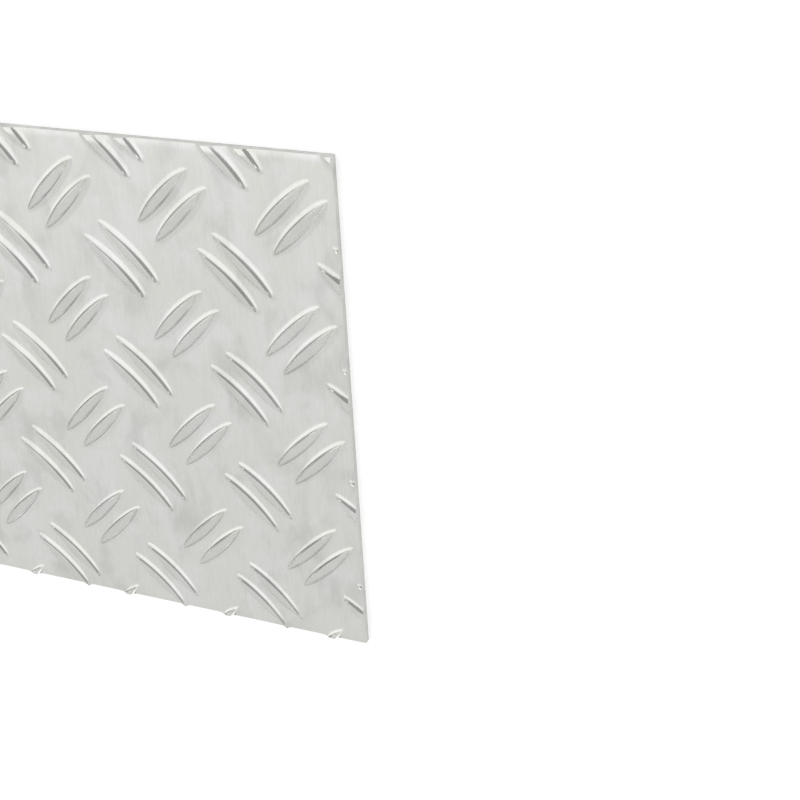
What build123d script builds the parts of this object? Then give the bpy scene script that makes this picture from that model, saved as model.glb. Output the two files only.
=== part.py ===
"""Aluminium tread plate: one rolled sheet, flat below, with a pattern of raised bars on top.

The bars stand in pairs. Each bar is a lens in plan, with a flat crest and hollow flanks: steep
below the crest and gentler at the foot. The pairs form a square pattern. One set rises to the
right, and the other set, half a pitch along and across, falls to the right at a right angle.
The sheet is sheared from a larger one, so its edges cut straight through the bars they meet.

The origin is the centre of the underside, with X along the sheet, Y across it and Z up.
"""

import os
from math import ceil, floor

from build123d import *

# Sheet, in millimetres
sheet_length = 500.0
sheet_width = 200.0
sheet_gauge = 3.0  # without the bars

# Pattern
pair_pitch = 46.5  # between like pairs, along the sheet and across it
bar_spacing = 9.25  # between the centre lines of the two bars of a pair
bar_lean = 45.0  # degrees between a bar and the sheet's length
right_end_to_pair = 17.1  # from the sheet's right end to the first rising pair
upper_side_to_pair = 23.7  # from the sheet's upper side to the first rising pair

# One bar
bar_height = 1.5  # above the sheet
crest_length = 28.8
crest_width = 2.65  # at its middle
flank_run = 2.1  # from crest to foot, in plan, at the middle
tip_run = 1.4  # from crest to foot, in plan, at each tip

# Outlines of a bar from foot to crest: how far out of the run, and how far up the height
flank_shares = (
    (1.0, 0.0),
    (0.29, 0.54),
    (0.0, 1.0),
)

# The sheet before it is sheared reaches past every bar that the shears cut
rolled_margin = 2 * pair_pitch


def places_in_line(start, limit):
    """The places at whole pitches from start that lie within limit of the middle, either way."""
    first = ceil((-limit - start) / pair_pitch)
    last = floor((limit - start) / pair_pitch)
    return [start + pair_pitch * step for step in range(first, last + 1)]


def pair_places(x_start, y_start, lean):
    """Where the pairs of one set stand, with those that an edge of the sheet cuts through."""
    reach = crest_length / 2 + tip_run + bar_spacing
    columns = places_in_line(x_start, sheet_length / 2 + reach)
    rows = places_in_line(y_start, sheet_width / 2 + reach)
    return [Location((x, y, sheet_gauge), (0, 0, lean)) for y in rows for x in columns]


rising_x = sheet_length / 2 - right_end_to_pair
rising_y = sheet_width / 2 - upper_side_to_pair
rising_places = pair_places(rising_x, rising_y, bar_lean)
falling_places = pair_places(rising_x + pair_pitch / 2, rising_y + pair_pitch / 2, -bar_lean)

with BuildPart() as bar:
    for out_share, up_share in flank_shares:
        half_length = crest_length / 2 + tip_run * out_share
        half_width = crest_width / 2 + flank_run * out_share
        with BuildSketch(Plane.XY.offset(bar_height * up_share)):
            with BuildLine():
                SagittaArc((-half_length, 0), (half_length, 0), half_width)
                SagittaArc((half_length, 0), (-half_length, 0), half_width)
            make_face()
    loft(ruled=True)

with BuildPart() as pair:
    with GridLocations(0, bar_spacing, 1, 2):
        add(bar.part)

# Rolled with its bars, then sheared to size
with BuildPart() as tread_plate:
    Box(
        sheet_length + 2 * rolled_margin,
        sheet_width + 2 * rolled_margin,
        sheet_gauge,
        align=(Align.CENTER, Align.CENTER, Align.MIN),
    )
    with Locations(*rising_places, *falling_places):
        add(pair.part)
    Box(
        sheet_length,
        sheet_width,
        4 * (sheet_gauge + bar_height),
        mode=Mode.INTERSECT,
    )

tread_plate.part.label = "tread_plate"
os.makedirs("parts", exist_ok=True)
export_step(tread_plate.part, "parts/tread_plate.step")
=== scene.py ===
import math

import bmesh
import bpy
from mathutils import Matrix, Vector


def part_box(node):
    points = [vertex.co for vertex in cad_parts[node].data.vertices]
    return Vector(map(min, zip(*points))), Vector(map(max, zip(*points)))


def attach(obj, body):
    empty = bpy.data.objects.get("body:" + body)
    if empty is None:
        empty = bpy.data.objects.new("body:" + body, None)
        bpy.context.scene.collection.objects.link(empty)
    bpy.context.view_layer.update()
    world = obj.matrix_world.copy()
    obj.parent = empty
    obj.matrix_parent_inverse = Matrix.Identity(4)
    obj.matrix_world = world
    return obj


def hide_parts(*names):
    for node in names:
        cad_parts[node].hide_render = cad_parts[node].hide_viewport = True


mm = 0.001

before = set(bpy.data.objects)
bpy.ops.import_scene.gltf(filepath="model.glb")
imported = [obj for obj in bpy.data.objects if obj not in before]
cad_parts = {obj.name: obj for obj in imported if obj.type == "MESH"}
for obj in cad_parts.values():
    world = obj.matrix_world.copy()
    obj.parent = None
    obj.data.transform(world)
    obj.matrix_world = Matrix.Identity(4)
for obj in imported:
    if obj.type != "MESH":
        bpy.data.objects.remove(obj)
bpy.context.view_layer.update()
sheetLow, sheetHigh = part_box("tread_plate")
print("frame loaded:", sorted(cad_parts))


# Small helpers for node trees

def addNode(tree, kind, settings=None, **sockets):
    node = tree.nodes.new(kind)
    for name, value in (settings or {}).items():
        setattr(node, name, value)
    for name, value in sockets.items():
        plug(tree, node, name.replace("_", " "), value)
    return node


def plug(tree, node, name, value):
    # i0, i1 and so on count the sockets of nodes that have several of one name
    isNumbered = name[0] == "i" and name[1:].isdigit()
    socket = node.inputs[int(name[1:]) if isNumbered else name]
    if isinstance(value, bpy.types.NodeSocket):
        tree.links.new(value, socket)
    else:
        socket.default_value = value


def addMath(tree, operation, *values):
    node = tree.nodes.new("ShaderNodeMath")
    node.operation = operation
    for number, value in enumerate(values):
        plug(tree, node, "i%d" % number, value)
    return node.outputs[0]


def addSocket(tree, name, kind, isOutput=False):
    direction = "OUTPUT" if isOutput else "INPUT"
    tree.interface.new_socket(name=name, in_out=direction, socket_type="NodeSocket" + kind)


# One bar: a lens with a flat crest, hollow flanks and a flat collar that meets the sheet

bar = {
    "crestLength": 28.8 * mm,
    "crestWidth": 2.65 * mm,
    "height": 1.5 * mm,
    "flankRun": 2.8 * mm,      # from crest to foot, in plan, at the middle
    "tipRun": 1.9 * mm,        # the same at each tip
    "footBluntness": 0.5,      # 0 is as pointed as the crest, 0.5 is an ellipse
    "worn": 0.07 * mm,         # how much of the crest's edge is rubbed off
    "collar": 0.35 * mm,       # flat rim round the foot, which the face is welded to
    "sideSteps": 20,
    "flankSteps": 6,
}


def barOutlines():
    # out is a share of the flank's run, from the crest's edge
    run, height = bar["flankRun"], bar["height"]
    radius = (run ** 2 + height ** 2) / (2 * height)
    steepest = math.asin(run / radius)
    worn = bar["worn"] / run
    outlines = [(-2 * worn, height), (-worn, height)]
    for step in range(bar["flankSteps"], -1, -1):
        slope = steepest * step / bar["flankSteps"]
        outlines.append((1 - radius * math.sin(slope) / run, radius * (1 - math.cos(slope))))
    # The flank begins a little way down, where the rubbed edge ends
    outlines[2] = (worn * math.cos(steepest), height - bar["worn"] * math.sin(steepest))
    outlines.append((1 + bar["collar"] / run, 0.0))
    return outlines


def makeBar():
    steps = bar["sideSteps"]
    turns = [math.pi * (step / steps - 0.5) for step in range(steps + 1)]
    points, faces = [], []
    for out, height in barOutlines():
        halfLength = bar["crestLength"] / 2 + bar["tipRun"] * out
        halfWidth = bar["crestWidth"] / 2 + bar["flankRun"] * out
        power = 2 * (1 - bar["footBluntness"] * min(max(out, 0), 1))
        upper = [(halfLength * math.sin(turn), halfWidth * max(math.cos(turn), 0) ** power)
                 for turn in turns]
        lower = [(x, -y) for x, y in reversed(upper[1:-1])]
        points += [(x, y, height) for x, y in upper + lower]
    ring = 2 * steps
    for level in range(len(points) // ring - 1):
        for place in range(ring):
            a, b = level * ring + place, level * ring + (place + 1) % ring
            faces.append((a, b, b + ring, a + ring))
    # The crest is closed by strips from side to side
    for place in range(steps):
        low, high = (ring - place) % ring, ring - place - 1
        corners = [place, low, high, place + 1]
        faces.append([c for n, c in enumerate(corners) if c not in corners[:n]])
    mesh = bpy.data.meshes.new("bar")
    mesh.from_pydata(points, [], faces)
    cleaned = bmesh.new()
    cleaned.from_mesh(mesh)
    bmesh.ops.recalc_face_normals(cleaned, faces=cleaned.faces)
    # The bar is open below, so its faces may have come out pointing inwards
    if sum(face.normal.z for face in cleaned.faces) < 0:
        bmesh.ops.reverse_faces(cleaned, faces=cleaned.faces)
    cleaned.to_mesh(mesh)
    cleaned.free()
    made = bpy.data.objects.new("bar", mesh)
    bpy.context.scene.collection.objects.link(made)
    print("bar:", len(mesh.polygons), "faces")
    return made


# The pattern: two sets of bar pairs on one square grid, and the sheet's face between them

pattern = {
    "pitch": 46.5 * mm,
    "spacing": 9.25 * mm,      # between the two bars of a pair
    "lean": math.radians(45),
    "endToPair": 17.1 * mm,    # from the right end to the first rising pair
    "sideToPair": 23.7 * mm,   # from the upper side to the first rising pair
    "spread": 0.02,            # how much the bars differ in size
    "turnSpread": math.radians(0.4),
    "seed": 7,
    "spare": 3,                # rows and columns beyond those that fit on the sheet
    "blankMargin": 2,          # pitches of plain sheet past them, on each side
    "weld": 0.002 * mm,
}


def makeSetTree():
    # One set of pairs: a grid of places, a pair of points at each, and a bar on every point
    tree = bpy.data.node_groups.new("barSet", "GeometryNodeTree")
    addSocket(tree, "Bars", "Geometry", isOutput=True)
    addSocket(tree, "Bar", "Object")
    addSocket(tree, "Middle", "Vector")
    addSocket(tree, "Columns", "Int")
    addSocket(tree, "Rows", "Int")
    for name in ("Pitch", "Spacing", "Lean", "Spread", "Turn Spread"):
        addSocket(tree, name, "Float")
    addSocket(tree, "Seed", "Int")
    given = tree.nodes.new("NodeGroupInput").outputs
    width = addMath(tree, "MULTIPLY", addMath(tree, "SUBTRACT", given["Columns"], 1.0), given["Pitch"])
    depth = addMath(tree, "MULTIPLY", addMath(tree, "SUBTRACT", given["Rows"], 1.0), given["Pitch"])
    grid = addNode(tree, "GeometryNodeMeshGrid", Size_X=width, Size_Y=depth,
                   Vertices_X=given["Columns"], Vertices_Y=given["Rows"])
    placed = addNode(tree, "GeometryNodeTransform", Geometry=grid.outputs["Mesh"],
                     Translation=given["Middle"])
    start = addNode(tree, "ShaderNodeCombineXYZ", Y=addMath(tree, "MULTIPLY", given["Spacing"], -0.5))
    gap = addNode(tree, "ShaderNodeCombineXYZ", Y=given["Spacing"])
    pair = addNode(tree, "GeometryNodeMeshLine", Count=2, Start_Location=start.outputs[0],
                   Offset=gap.outputs[0])
    lean = addNode(tree, "ShaderNodeCombineXYZ", Z=given["Lean"])
    turned = addNode(tree, "FunctionNodeEulerToRotation", Euler=lean.outputs[0])
    pairs = addNode(tree, "GeometryNodeInstanceOnPoints", Points=placed.outputs[0],
                    Instance=pair.outputs["Mesh"], Rotation=turned.outputs[0])
    spots = addNode(tree, "GeometryNodeRealizeInstances", Geometry=pairs.outputs[0])
    # No bar stands higher than the others' full height, so that the box holds
    least = addMath(tree, "SUBTRACT", 1.0, given["Spread"])
    most = addMath(tree, "ADD", 1.0, given["Spread"])
    smallest = addNode(tree, "ShaderNodeCombineXYZ", X=least, Y=least, Z=least)
    largest = addNode(tree, "ShaderNodeCombineXYZ", X=most, Y=most, Z=1.0)
    size = addNode(tree, "FunctionNodeRandomValue", {"data_type": "FLOAT_VECTOR"},
                   i0=smallest.outputs[0], i1=largest.outputs[0], Seed=given["Seed"])
    swing = addNode(tree, "FunctionNodeRandomValue", {"data_type": "FLOAT"},
                    i2=addMath(tree, "MULTIPLY", given["Turn Spread"], -1.0), i3=given["Turn Spread"],
                    Seed=addMath(tree, "ADD", given["Seed"], 1.0))
    aim = addNode(tree, "ShaderNodeCombineXYZ", Z=addMath(tree, "ADD", given["Lean"], swing.outputs[1]))
    aimed = addNode(tree, "FunctionNodeEulerToRotation", Euler=aim.outputs[0])
    shape = addNode(tree, "GeometryNodeObjectInfo", Object=given["Bar"])
    bars = addNode(tree, "GeometryNodeInstanceOnPoints", Points=spots.outputs[0],
                   Instance=shape.outputs["Geometry"], Rotation=aimed.outputs[0], Scale=size.outputs[0])
    out = tree.nodes.new("NodeGroupOutput")
    tree.links.new(bars.outputs[0], out.inputs["Bars"])
    return tree


def makeSheetTree(setTree):
    # Both sets of bars and the face between their collars, in one welded surface
    tree = bpy.data.node_groups.new("treadSheet", "GeometryNodeTree")
    addSocket(tree, "Sheet", "Geometry", isOutput=True)
    addSocket(tree, "Bar", "Object")
    addSocket(tree, "Rising Middle", "Vector")
    addSocket(tree, "Columns", "Int")
    addSocket(tree, "Rows", "Int")
    for name in ("Pitch", "Spacing", "Lean", "Spread", "Turn Spread", "Gauge", "Blank Length",
                 "Blank Width", "Weld"):
        addSocket(tree, name, "Float")
    addSocket(tree, "Seed", "Int")
    addSocket(tree, "Finish", "Material")
    given = tree.nodes.new("NodeGroupInput").outputs
    half = addMath(tree, "MULTIPLY", given["Pitch"], 0.5)
    step = addNode(tree, "ShaderNodeCombineXYZ", X=half, Y=half)
    fallingMiddle = addNode(tree, "ShaderNodeVectorMath", {"operation": "ADD"},
                            i0=given["Rising Middle"], i1=step.outputs[0])
    bothSets = tree.nodes.new("GeometryNodeJoinGeometry")
    rising = (given["Rising Middle"], 1.0, 0.0)
    falling = (fallingMiddle.outputs[0], -1.0, 10.0)
    for middle, leanSign, seedStep in (rising, falling):
        barSet = addNode(tree, "GeometryNodeGroup", {"node_tree": setTree})
        for name in ("Bar", "Columns", "Rows", "Pitch", "Spacing", "Spread", "Turn Spread"):
            plug(tree, barSet, name, given[name])
        plug(tree, barSet, "Middle", middle)
        plug(tree, barSet, "Lean", addMath(tree, "MULTIPLY", given["Lean"], leanSign))
        plug(tree, barSet, "Seed", addMath(tree, "ADD", given["Seed"], seedStep))
        tree.links.new(barSet.outputs["Bars"], bothSets.inputs[0])
    solidBars = addNode(tree, "GeometryNodeRealizeInstances", Geometry=bothSets.outputs[0])
    neighbours = tree.nodes.new("GeometryNodeInputMeshEdgeNeighbors")
    isRim = addMath(tree, "LESS_THAN", neighbours.outputs["Face Count"], 1.5)
    rims = addNode(tree, "GeometryNodeMeshToCurve", Mesh=solidBars.outputs[0], Selection=isRim)
    blank = addNode(tree, "GeometryNodeCurvePrimitiveQuadrilateral", Width=given["Blank Length"],
                    Height=given["Blank Width"])
    outlines = tree.nodes.new("GeometryNodeJoinGeometry")
    tree.links.new(rims.outputs[0], outlines.inputs[0])
    tree.links.new(blank.outputs[0], outlines.inputs[0])
    between = addNode(tree, "GeometryNodeFillCurve", Curve=outlines.outputs[0])
    surface = tree.nodes.new("GeometryNodeJoinGeometry")
    tree.links.new(solidBars.outputs[0], surface.inputs[0])
    tree.links.new(between.outputs[0], surface.inputs[0])
    lift = addNode(tree, "ShaderNodeCombineXYZ", Z=given["Gauge"])
    raised = addNode(tree, "GeometryNodeTransform", Geometry=surface.outputs[0],
                     Translation=lift.outputs[0])
    welded = addNode(tree, "GeometryNodeMergeByDistance", Geometry=raised.outputs[0],
                     Distance=given["Weld"])
    real = addNode(tree, "GeometryNodeRealizeInstances", Geometry=welded.outputs[0])
    finished = addNode(tree, "GeometryNodeSetMaterial", Geometry=real.outputs[0],
                       Material=given["Finish"])
    out = tree.nodes.new("NodeGroupOutput")
    tree.links.new(finished.outputs[0], out.inputs["Sheet"])
    return tree


def makeRolledSheet(barObject, finish):
    # The pattern as it leaves the rolls, larger than the sheet on every side
    pitch = pattern["pitch"]
    size = sheetHigh - sheetLow
    columns = math.ceil(size.x / pitch) + pattern["spare"]
    rows = math.ceil(size.y / pitch) + pattern["spare"]
    # One column lies past the sheet's right end, and one row past its upper side
    middle = Vector((sheetHigh.x - pattern["endToPair"] - pitch * (columns - 1) / 2 + pitch,
                     sheetHigh.y - pattern["sideToPair"] - pitch * (rows - 1) / 2 + pitch, 0))
    margin = 2 * pattern["blankMargin"]
    tree = makeSheetTree(makeSetTree())
    rolled = bpy.data.objects.new("rolledSheet", bpy.data.meshes.new("rolledSheet"))
    bpy.context.scene.collection.objects.link(rolled)
    modifier = rolled.modifiers.new("pattern", "NODES")
    modifier.node_group = tree
    wanted = {
        "Bar": barObject, "Rising Middle": middle, "Columns": columns, "Rows": rows, "Pitch": pitch,
        "Spacing": pattern["spacing"], "Lean": pattern["lean"], "Spread": pattern["spread"],
        "Turn Spread": pattern["turnSpread"], "Gauge": size.z - bar["height"],
        "Blank Length": (columns + margin) * pitch, "Blank Width": (rows + margin) * pitch,
        "Weld": pattern["weld"], "Seed": pattern["seed"], "Finish": finish,
    }
    sockets = {item.name: item.identifier for item in tree.interface.items_tree
               if item.in_out == "INPUT"}
    for name, value in wanted.items():
        modifier[sockets[name]] = value
    rolled.update_tag()
    evaluated = rolled.evaluated_get(bpy.context.evaluated_depsgraph_get())
    mesh = bpy.data.meshes.new_from_object(evaluated)
    bpy.data.objects.remove(rolled)
    bpy.data.objects.remove(barObject)
    print("rolled sheet:", len(mesh.polygons), "faces,", columns, "by", rows, "pairs in each set")
    return mesh


# The sheet, sheared to size

shear = {
    "rollOver": 0.28 * mm,      # how far the face is drawn down at the edge
    "rollOverRun": 2.8 * mm,    # how far in from the edge that starts
    "rollOverPower": 2.4,       # the higher, the nearer to the edge most of it lies
    "rollOverSteps": 5,
    "stepPower": 1.4,           # above 1, the steps crowd towards the edge
    "burnish": 0.45,            # share of the edge that is cut smooth before it breaks
    "breakIn": 0.06 * mm,       # how far the broken part leans inwards
    "sharpAngle": math.radians(50),
    "onSide": 0.001 * mm,       # nearer than this to a side counts as on it
    "onCut": 1e-9,              # the same at a cut, in metres
    "shortest": 1e-8,           # edges below this, in metres, are dissolved
}


def cutSheet(mesh):
    cut = bmesh.new()
    cut.from_mesh(mesh)
    bpy.data.meshes.remove(mesh)
    sides = (
        (Vector((sheetLow.x, 0, 0)), Vector((-1, 0, 0))),
        (Vector((sheetHigh.x, 0, 0)), Vector((1, 0, 0))),
        (Vector((0, sheetLow.y, 0)), Vector((0, -1, 0))),
        (Vector((0, sheetHigh.y, 0)), Vector((0, 1, 0))),
    )
    for place, outward in sides:
        everything = cut.verts[:] + cut.edges[:] + cut.faces[:]
        bmesh.ops.bisect_plane(cut, geom=everything, dist=shear["onCut"], plane_co=place,
                               plane_no=outward, clear_outer=True)
    for place, outward in sides:
        for step in range(1, shear["rollOverSteps"] + 1):
            share = (step / shear["rollOverSteps"]) ** shear["stepPower"]
            inside = place - outward * shear["rollOverRun"] * share
            everything = cut.verts[:] + cut.edges[:] + cut.faces[:]
            bmesh.ops.bisect_plane(cut, geom=everything, dist=shear["onCut"], plane_co=inside,
                                   plane_no=outward)
    for vert in cut.verts:
        for place, outward in sides:
            away = (place - vert.co).dot(outward) / shear["rollOverRun"]
            if away < 1:
                vert.co.z -= shear["rollOver"] * (1 - away) ** shear["rollOverPower"]
    for face in cut.faces:
        face.smooth = True
        face.material_index = 0
    return cut, sides


def addEdges(cut, sides):
    # Down from the face's rim: a smooth band, a broken band that leans in, and the underside
    gauge = sheetHigh.z - sheetLow.z - bar["height"]
    bands = ((gauge * (1 - shear["burnish"]), 0.0), (0.0, shear["breakIn"]))
    rim = [edge for edge in cut.edges if edge.is_boundary]
    for height, lean in bands:
        made = bmesh.ops.extrude_edge_only(cut, edges=rim)
        newEdges = [item for item in made["geom"]
                    if isinstance(item, bmesh.types.BMEdge) and item.is_boundary]
        newVerts = {vert for edge in newEdges for vert in edge.verts}
        for vert in newVerts:
            vert.co.z = sheetLow.z + height
            for place, outward in sides:
                if abs((place - vert.co).dot(outward)) < shear["onSide"]:
                    vert.co -= outward * lean
        for item in made["geom"]:
            if isinstance(item, bmesh.types.BMFace):
                item.material_index = 1
                item.smooth = False
        rim = newEdges
    filled = bmesh.ops.triangle_fill(cut, use_beauty=True, edges=rim)
    for item in filled["geom"]:
        if isinstance(item, bmesh.types.BMFace):
            item.material_index = 2
            item.smooth = False
    bmesh.ops.dissolve_degenerate(cut, dist=shear["shortest"], edges=cut.edges)
    bmesh.ops.recalc_face_normals(cut, faces=cut.faces)


def makeTreadPlate(mesh, finishes):
    cut, sides = cutSheet(mesh)
    addEdges(cut, sides)
    openEdges = sum(1 for edge in cut.edges if not edge.is_manifold)
    made = bpy.data.meshes.new("treadPlate")
    cut.to_mesh(made)
    cut.free()
    for finish in finishes:
        made.materials.append(finish)
    made.set_sharp_from_angle(angle=shear["sharpAngle"])
    plate = bpy.data.objects.new("treadPlate", made)
    bpy.context.scene.collection.objects.link(plate)
    made.calc_loop_triangles()
    print("tread plate:", len(made.loop_triangles), "triangles,", openEdges, "open edges")
    return plate


# Finishes

millFace = {
    "plain": (0.87, 0.88, 0.83, 1),
    "cloud": (0.92, 0.92, 0.92, 1),
    "smudge": (0.70, 0.71, 0.675, 1),
    "crest": (0.80, 0.80, 0.765, 1),
    "cloudSize": 18 * mm,
    "cloudShare": 0.7,
    "smudgeShare": 0.75,
    "streakSize": (0.4 * mm, 7 * mm, 7 * mm),
    "streakShare": 0.09,
    "roughness": 0.36,
    "barRoughness": 0.17,
    "barFrom": (0.005 * mm, 0.06 * mm),       # above the face
    "crestFrom": (-0.06 * mm, -0.01 * mm),    # below the crest
    "mottleSize": 1.6 * mm,
    "mottleShare": (0.45, 1.0),
    "grain": 0.004 * mm,
}
# The sheared edge's colours are darker than the face's: partly the duller cut metal, partly painted shade
# standing in for the darker room that the edge reflects
shearedEdgeAndPaintedShade = {
    "plain": (0.63, 0.635, 0.61, 1),
    "cloud": (0.74, 0.74, 0.73, 1),
    "smudge": (0.47, 0.47, 0.455, 1),
    "cloudSize": 6 * mm,
    "cloudShare": 0.6,
    "smudgeShare": 0.5,
    "streakSize": (0.3 * mm, 0.3 * mm, 5 * mm),
    "streakShare": 0.16,
    "roughness": 0.55,
    "grain": 0.02 * mm,
}
underside = {
    "plain": (0.86, 0.87, 0.82, 1),
    "cloud": (0.92, 0.92, 0.93, 1),
    "smudge": (0.76, 0.76, 0.73, 1),
    "cloudSize": 34 * mm,
    "cloudShare": 0.7,
    "smudgeShare": 0.3,
    "streakSize": (9 * mm, 0.35 * mm, 9 * mm),
    "streakShare": 0.06,
    "roughness": 0.3,
    "grain": 0.004 * mm,
}
# How the patches and streaks look in the group that all three share
metalTone = {
    "clouds": {"Detail": 5.0, "Roughness": 0.55, "Distortion": 0.7},
    "cloudFrom": (0.46, 0.66),
    "smudges": {"Detail": 7.0, "Roughness": 0.58, "Distortion": 0.3},
    "smudgeFrom": (0.46, 0.74),
    "smudgeStretch": (1.0, 0.6, 1.0),
    "smudgeShift": (3.1, 1.7, 0.4),
    "smudgeFineness": 1.3,      # against the clouds
    "streaks": {"Scale": 1.0, "Detail": 3.0, "Roughness": 0.6},
    "roughnessSwing": 0.12,
}


def makeMetalGroup():
    # Cloudy patches, smudges and fine streaks of mill-finish aluminium
    tree = bpy.data.node_groups.new("millTone", "ShaderNodeTree")
    addSocket(tree, "Color", "Color", isOutput=True)
    addSocket(tree, "Roughness", "Float", isOutput=True)
    addSocket(tree, "Height", "Float", isOutput=True)
    addSocket(tree, "Vector", "Vector")
    for name in ("Plain", "Cloud", "Smudge"):
        addSocket(tree, name, "Color")
    addSocket(tree, "Streak Scale", "Vector")
    for name in ("Cloud Scale", "Cloud Share", "Smudge Share", "Streak Share", "Roughness"):
        addSocket(tree, name, "Float")
    given = tree.nodes.new("NodeGroupInput").outputs
    clouds = addNode(tree, "ShaderNodeTexNoise", Vector=given["Vector"], Scale=given["Cloud Scale"],
                     **metalTone["clouds"])
    cloudStart, cloudEnd = metalTone["cloudFrom"]
    cloudMask = addNode(tree, "ShaderNodeMapRange", {"interpolation_type": "SMOOTHSTEP"},
                        Value=clouds.outputs[0], From_Min=cloudStart, From_Max=cloudEnd)
    # Smudges are softer than the clouds, and drawn out along the rolling direction
    drawn = addNode(tree, "ShaderNodeVectorMath", {"operation": "MULTIPLY_ADD"},
                    i0=given["Vector"], i1=metalTone["smudgeStretch"], i2=metalTone["smudgeShift"])
    smudgeScale = addMath(tree, "MULTIPLY", given["Cloud Scale"], metalTone["smudgeFineness"])
    smudges = addNode(tree, "ShaderNodeTexNoise", Vector=drawn.outputs[0], Scale=smudgeScale,
                      **metalTone["smudges"])
    smudgeStart, smudgeEnd = metalTone["smudgeFrom"]
    smudgeMask = addNode(tree, "ShaderNodeMapRange", {"interpolation_type": "SMOOTHSTEP"},
                         Value=smudges.outputs[0], From_Min=smudgeStart, From_Max=smudgeEnd)
    stretched = addNode(tree, "ShaderNodeVectorMath", {"operation": "MULTIPLY"},
                        i0=given["Vector"], i1=given["Streak Scale"])
    streaks = addNode(tree, "ShaderNodeTexNoise", Vector=stretched.outputs[0], **metalTone["streaks"])
    cloudy = addNode(tree, "ShaderNodeMix", {"data_type": "RGBA"},
                     i0=addMath(tree, "MULTIPLY", cloudMask.outputs[0], given["Cloud Share"]),
                     i6=given["Plain"], i7=given["Cloud"])
    smudged = addNode(tree, "ShaderNodeMix", {"data_type": "RGBA"},
                      i0=addMath(tree, "MULTIPLY", smudgeMask.outputs[0], given["Smudge Share"]),
                      i6=cloudy.outputs[2], i7=given["Smudge"])
    # The streaks make the colour lighter or darker by up to their share
    swing = addMath(tree, "SUBTRACT", streaks.outputs[0], 0.5)
    swing = addMath(tree, "MULTIPLY", swing, given["Streak Share"])
    gain = addMath(tree, "ADD", addMath(tree, "MULTIPLY", swing, 2.0), 1.0)
    streaked = addNode(tree, "ShaderNodeVectorMath", {"operation": "SCALE"}, i0=smudged.outputs[2],
                       Scale=gain)
    roughSwing = addMath(tree, "SUBTRACT", clouds.outputs[0], 0.5)
    roughSwing = addMath(tree, "MULTIPLY", roughSwing, metalTone["roughnessSwing"])
    rough = addMath(tree, "ADD", given["Roughness"], roughSwing)
    out = tree.nodes.new("NodeGroupOutput")
    tree.links.new(streaked.outputs[0], out.inputs["Color"])
    tree.links.new(rough, out.inputs["Roughness"])
    tree.links.new(streaks.outputs[0], out.inputs["Height"])
    return tree


def makeFinish(name, look, group, faceHeight=None, crestHeight=None):
    material = bpy.data.materials.new(name)
    material.use_nodes = True
    tree = material.node_tree
    shader = tree.nodes["Principled BSDF"]
    place = tree.nodes.new("ShaderNodeTexCoord").outputs["Object"]
    tone = addNode(tree, "ShaderNodeGroup", {"node_tree": group}, Vector=place, Plain=look["plain"],
                   Cloud=look["cloud"], Smudge=look["smudge"], Cloud_Scale=1 / look["cloudSize"],
                   Streak_Scale=[1 / size for size in look["streakSize"]], Cloud_Share=look["cloudShare"],
                   Smudge_Share=look["smudgeShare"], Streak_Share=look["streakShare"],
                   Roughness=look["roughness"])
    colour, roughness = tone.outputs["Color"], tone.outputs["Roughness"]
    if crestHeight:
        # The bars are glossier than the satin face, and their crests are mottled and darker
        height = addNode(tree, "ShaderNodeSeparateXYZ", Vector=place)
        barStart, barEnd = look["barFrom"]
        onBar = addNode(tree, "ShaderNodeMapRange", Value=height.outputs["Z"],
                        From_Min=faceHeight + barStart, From_Max=faceHeight + barEnd)
        glossier = addMath(tree, "MULTIPLY", onBar.outputs[0], look["barRoughness"] - look["roughness"])
        roughness = addMath(tree, "ADD", roughness, glossier)
        crestStart, crestEnd = look["crestFrom"]
        onCrest = addNode(tree, "ShaderNodeMapRange", Value=height.outputs["Z"],
                          From_Min=crestHeight + crestStart, From_Max=crestHeight + crestEnd)
        mottle = addNode(tree, "ShaderNodeTexNoise", Vector=place, Scale=1 / look["mottleSize"],
                         Detail=4.0, Roughness=0.65)
        least, most = look["mottleShare"]
        share = addNode(tree, "ShaderNodeMapRange", Value=mottle.outputs[0], From_Min=0.3,
                        From_Max=0.7, To_Min=least, To_Max=most)
        crest = addNode(tree, "ShaderNodeMix", {"data_type": "RGBA"},
                        i0=addMath(tree, "MULTIPLY", onCrest.outputs[0], share.outputs[0]),
                        i6=colour, i7=look["crest"])
        colour = crest.outputs[2]
    tree.links.new(colour, shader.inputs["Base Color"])
    tree.links.new(roughness, shader.inputs["Roughness"])
    shader.inputs["Metallic"].default_value = 1.0
    bump = addNode(tree, "ShaderNodeBump", Distance=look["grain"], Strength=1.0,
                   Height=tone.outputs["Height"])
    tree.links.new(bump.outputs[0], shader.inputs["Normal"])
    return material


# Floor, light and camera

room = {
    "floorSize": 60.0,
    "floorDrop": 0.05 * mm,
    "floorColour": (0.93, 0.93, 0.93, 1),
    "floorRoughness": 0.9,
    "floorLift": 0.36,                     # what the camera and reflections see on top of the light
    "bright": 1.0,                         # the large soft light, to the left and overhead
    "grey": 0.70,
    "shade": 0.34,                         # the unlit side behind the camera
    "low": 0.24,                           # the room near the floor
    "brightSide": (-0.25, 0.87, 0.42),
    "brightFrom": (0.19, 0.30),
    "brightOver": (-0.3, -0.45, 0.84),     # it ends above the horizon on its far side
    "brightOverFrom": (0.0, 0.2),
    "front": (0.755, 0.656, 0.0),          # from the sheet towards the camera, level with the floor
    "across": (-0.656, 0.755, 0.0),
    "shadeWidth": 0.43,
    "shadeHeight": 0.87,
    "shadeFrom": (0.90, 1.08),
    "frontFrom": (0.0, 0.15),
    "lowEdge": 0.10,                       # how high the low part stands opposite the camera
    "leftRise": 0.22,
    "leftFrom": (0.2, 0.6),
    "rightRise": 0.13,
    "rightFrom": (0.3, 0.6),
    "lowSoftness": 0.08,
    "lowEnds": (-0.6, -0.3),               # it fades out towards the camera's side
    "backdrop": 1.0,                       # the white just above the floor's far edge
    "backdropFrom": (0.055, 0.085),
}


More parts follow.
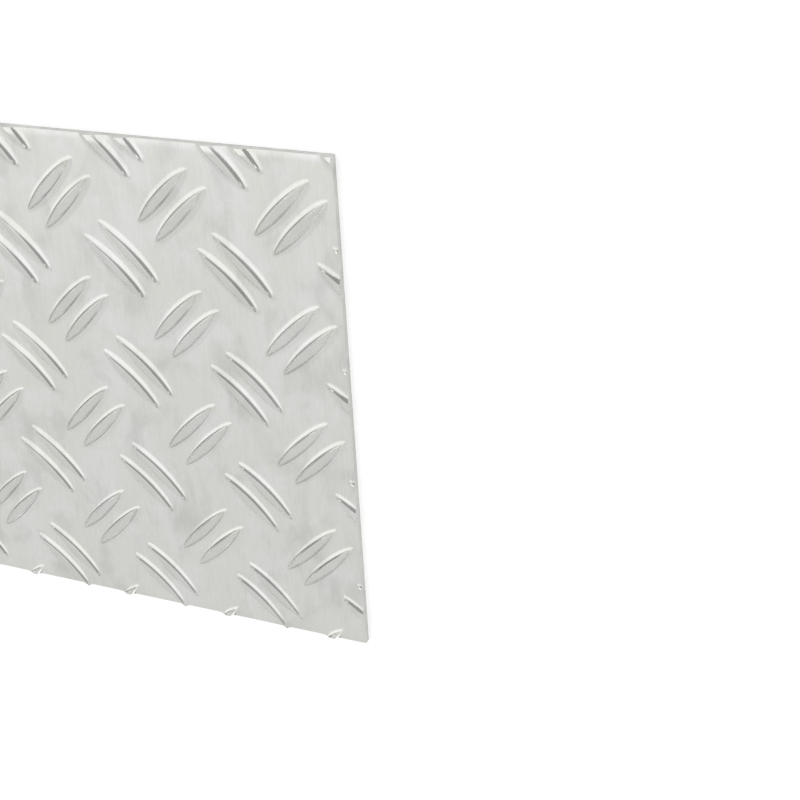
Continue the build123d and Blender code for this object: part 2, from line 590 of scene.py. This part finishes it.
def makeFloor():
    half = room["floorSize"] / 2
    level = sheetLow.z - room["floorDrop"]
    mesh = bpy.data.meshes.new("floor")
    corners = [(x * half, y * half, level) for x, y in ((-1, -1), (1, -1), (1, 1), (-1, 1))]
    mesh.from_pydata(corners, [], [(0, 1, 2, 3)])
    floor = bpy.data.objects.new("floor", mesh)
    bpy.context.scene.collection.objects.link(floor)
    material = bpy.data.materials.new("paleFloor")
    material.use_nodes = True
    tree = material.node_tree
    shader = tree.nodes["Principled BSDF"]
    shader.inputs["Base Color"].default_value = room["floorColour"]
    shader.inputs["Roughness"].default_value = room["floorRoughness"]
    shader.inputs["Specular IOR Level"].default_value = 0.0
    path = tree.nodes.new("ShaderNodeLightPath").outputs
    seen = addMath(tree, "MAXIMUM", path["Is Camera Ray"], path["Is Glossy Ray"])
    seen = addMath(tree, "MAXIMUM", seen, path["Is Transmission Ray"])
    shader.inputs["Emission Color"].default_value = (1, 1, 1, 1)
    lift = addMath(tree, "MULTIPLY", seen, room["floorLift"])
    tree.links.new(lift, shader.inputs["Emission Strength"])
    mesh.materials.append(material)


def makeWorld():
    world = bpy.data.worlds.new("studio")
    bpy.context.scene.world = world
    world.use_nodes = True
    tree = world.node_tree
    direction = tree.nodes.new("ShaderNodeTexCoord").outputs["Generated"]

    def along(side):
        dot = addNode(tree, "ShaderNodeVectorMath", {"operation": "DOT_PRODUCT"}, i0=direction, i1=side)
        return dot.outputs["Value"]

    def within(value, start, end):
        share = addNode(tree, "ShaderNodeMapRange", {"interpolation_type": "SMOOTHSTEP"},
                        Value=value, From_Min=start, From_Max=end)
        return share.outputs[0]

    def square(value, size):
        scaled = addMath(tree, "DIVIDE", value, size)
        return addMath(tree, "MULTIPLY", scaled, scaled)

    up, across = along((0, 0, 1)), along(room["across"])
    outline = addMath(tree, "ADD", square(across, room["shadeWidth"]), square(up, room["shadeHeight"]))
    notShade = within(addMath(tree, "SQRT", outline), *room["shadeFrom"])
    inFront = within(along(room["front"]), *room["frontFrom"])
    shade = addMath(tree, "MULTIPLY", addMath(tree, "SUBTRACT", 1.0, notShade), inFront)
    left = addMath(tree, "MULTIPLY", within(across, *room["leftFrom"]), room["leftRise"])
    toRight = addMath(tree, "MULTIPLY", across, -1.0)
    right = addMath(tree, "MULTIPLY", within(toRight, *room["rightFrom"]), room["rightRise"])
    edge = addMath(tree, "ADD", addMath(tree, "ADD", left, right), room["lowEdge"])
    above = within(addMath(tree, "SUBTRACT", up, edge), -room["lowSoftness"], room["lowSoftness"])
    behind = addMath(tree, "SUBTRACT", 1.0, within(along(room["front"]), *room["lowEnds"]))
    low = addMath(tree, "MULTIPLY", addMath(tree, "SUBTRACT", 1.0, above), behind)
    backdrop = addMath(tree, "SUBTRACT", 1.0, within(up, *room["backdropFrom"]))
    bright = addMath(tree, "MULTIPLY", within(along(room["brightSide"]), *room["brightFrom"]),
                     within(along(room["brightOver"]), *room["brightOverFrom"]))
    level = room["grey"]
    # Each region lies over the one before it
    for share, strength in (
        (bright, room["bright"]),
        (shade, room["shade"]),
        (low, room["low"]),
        (backdrop, room["backdrop"]),
    ):
        mixed = addNode(tree, "ShaderNodeMix", {"data_type": "FLOAT"}, i0=share, i2=level, i3=strength)
        level = mixed.outputs[0]
    background = tree.nodes["Background"]
    background.inputs["Color"].default_value = (1, 1, 1, 1)
    tree.links.new(level, background.inputs["Strength"])


view = {
    "place": Vector((453.6, 263.6, 426.5)) * mm,
    "look": Vector((-0.3494, -0.4783, -0.8057)),
    "up": Vector((-0.1422, 0.877, -0.459)),
    "lens": 67.3,
    "sensor": 36.0,
}


def makeCamera():
    camera = bpy.data.cameras.new("camera")
    camera.lens, camera.sensor_width = view["lens"], view["sensor"]
    made = bpy.data.objects.new("camera", camera)
    bpy.context.scene.collection.objects.link(made)
    back = -view["look"].normalized()
    right = view["up"].cross(back).normalized()
    up = back.cross(right)
    turn = Matrix((right, up, back)).transposed().to_4x4()
    made.matrix_world = Matrix.Translation(view["place"]) @ turn
    bpy.context.scene.camera = made


metal = makeMetalGroup()
finishes = [
    makeFinish("rolledFace", millFace, metal, sheetHigh.z - bar["height"], sheetHigh.z),
    makeFinish("shearedEdgeAndPaintedShade", shearedEdgeAndPaintedShade, metal),
    makeFinish("plainUnderside", underside, metal),
]
plate = makeTreadPlate(makeRolledSheet(makeBar(), finishes[0]), finishes)
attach(plate, "root")
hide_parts("tread_plate")
makeFloor()
makeWorld()
makeCamera()
bpy.context.scene.view_settings.view_transform = "Standard"
print("stage set")
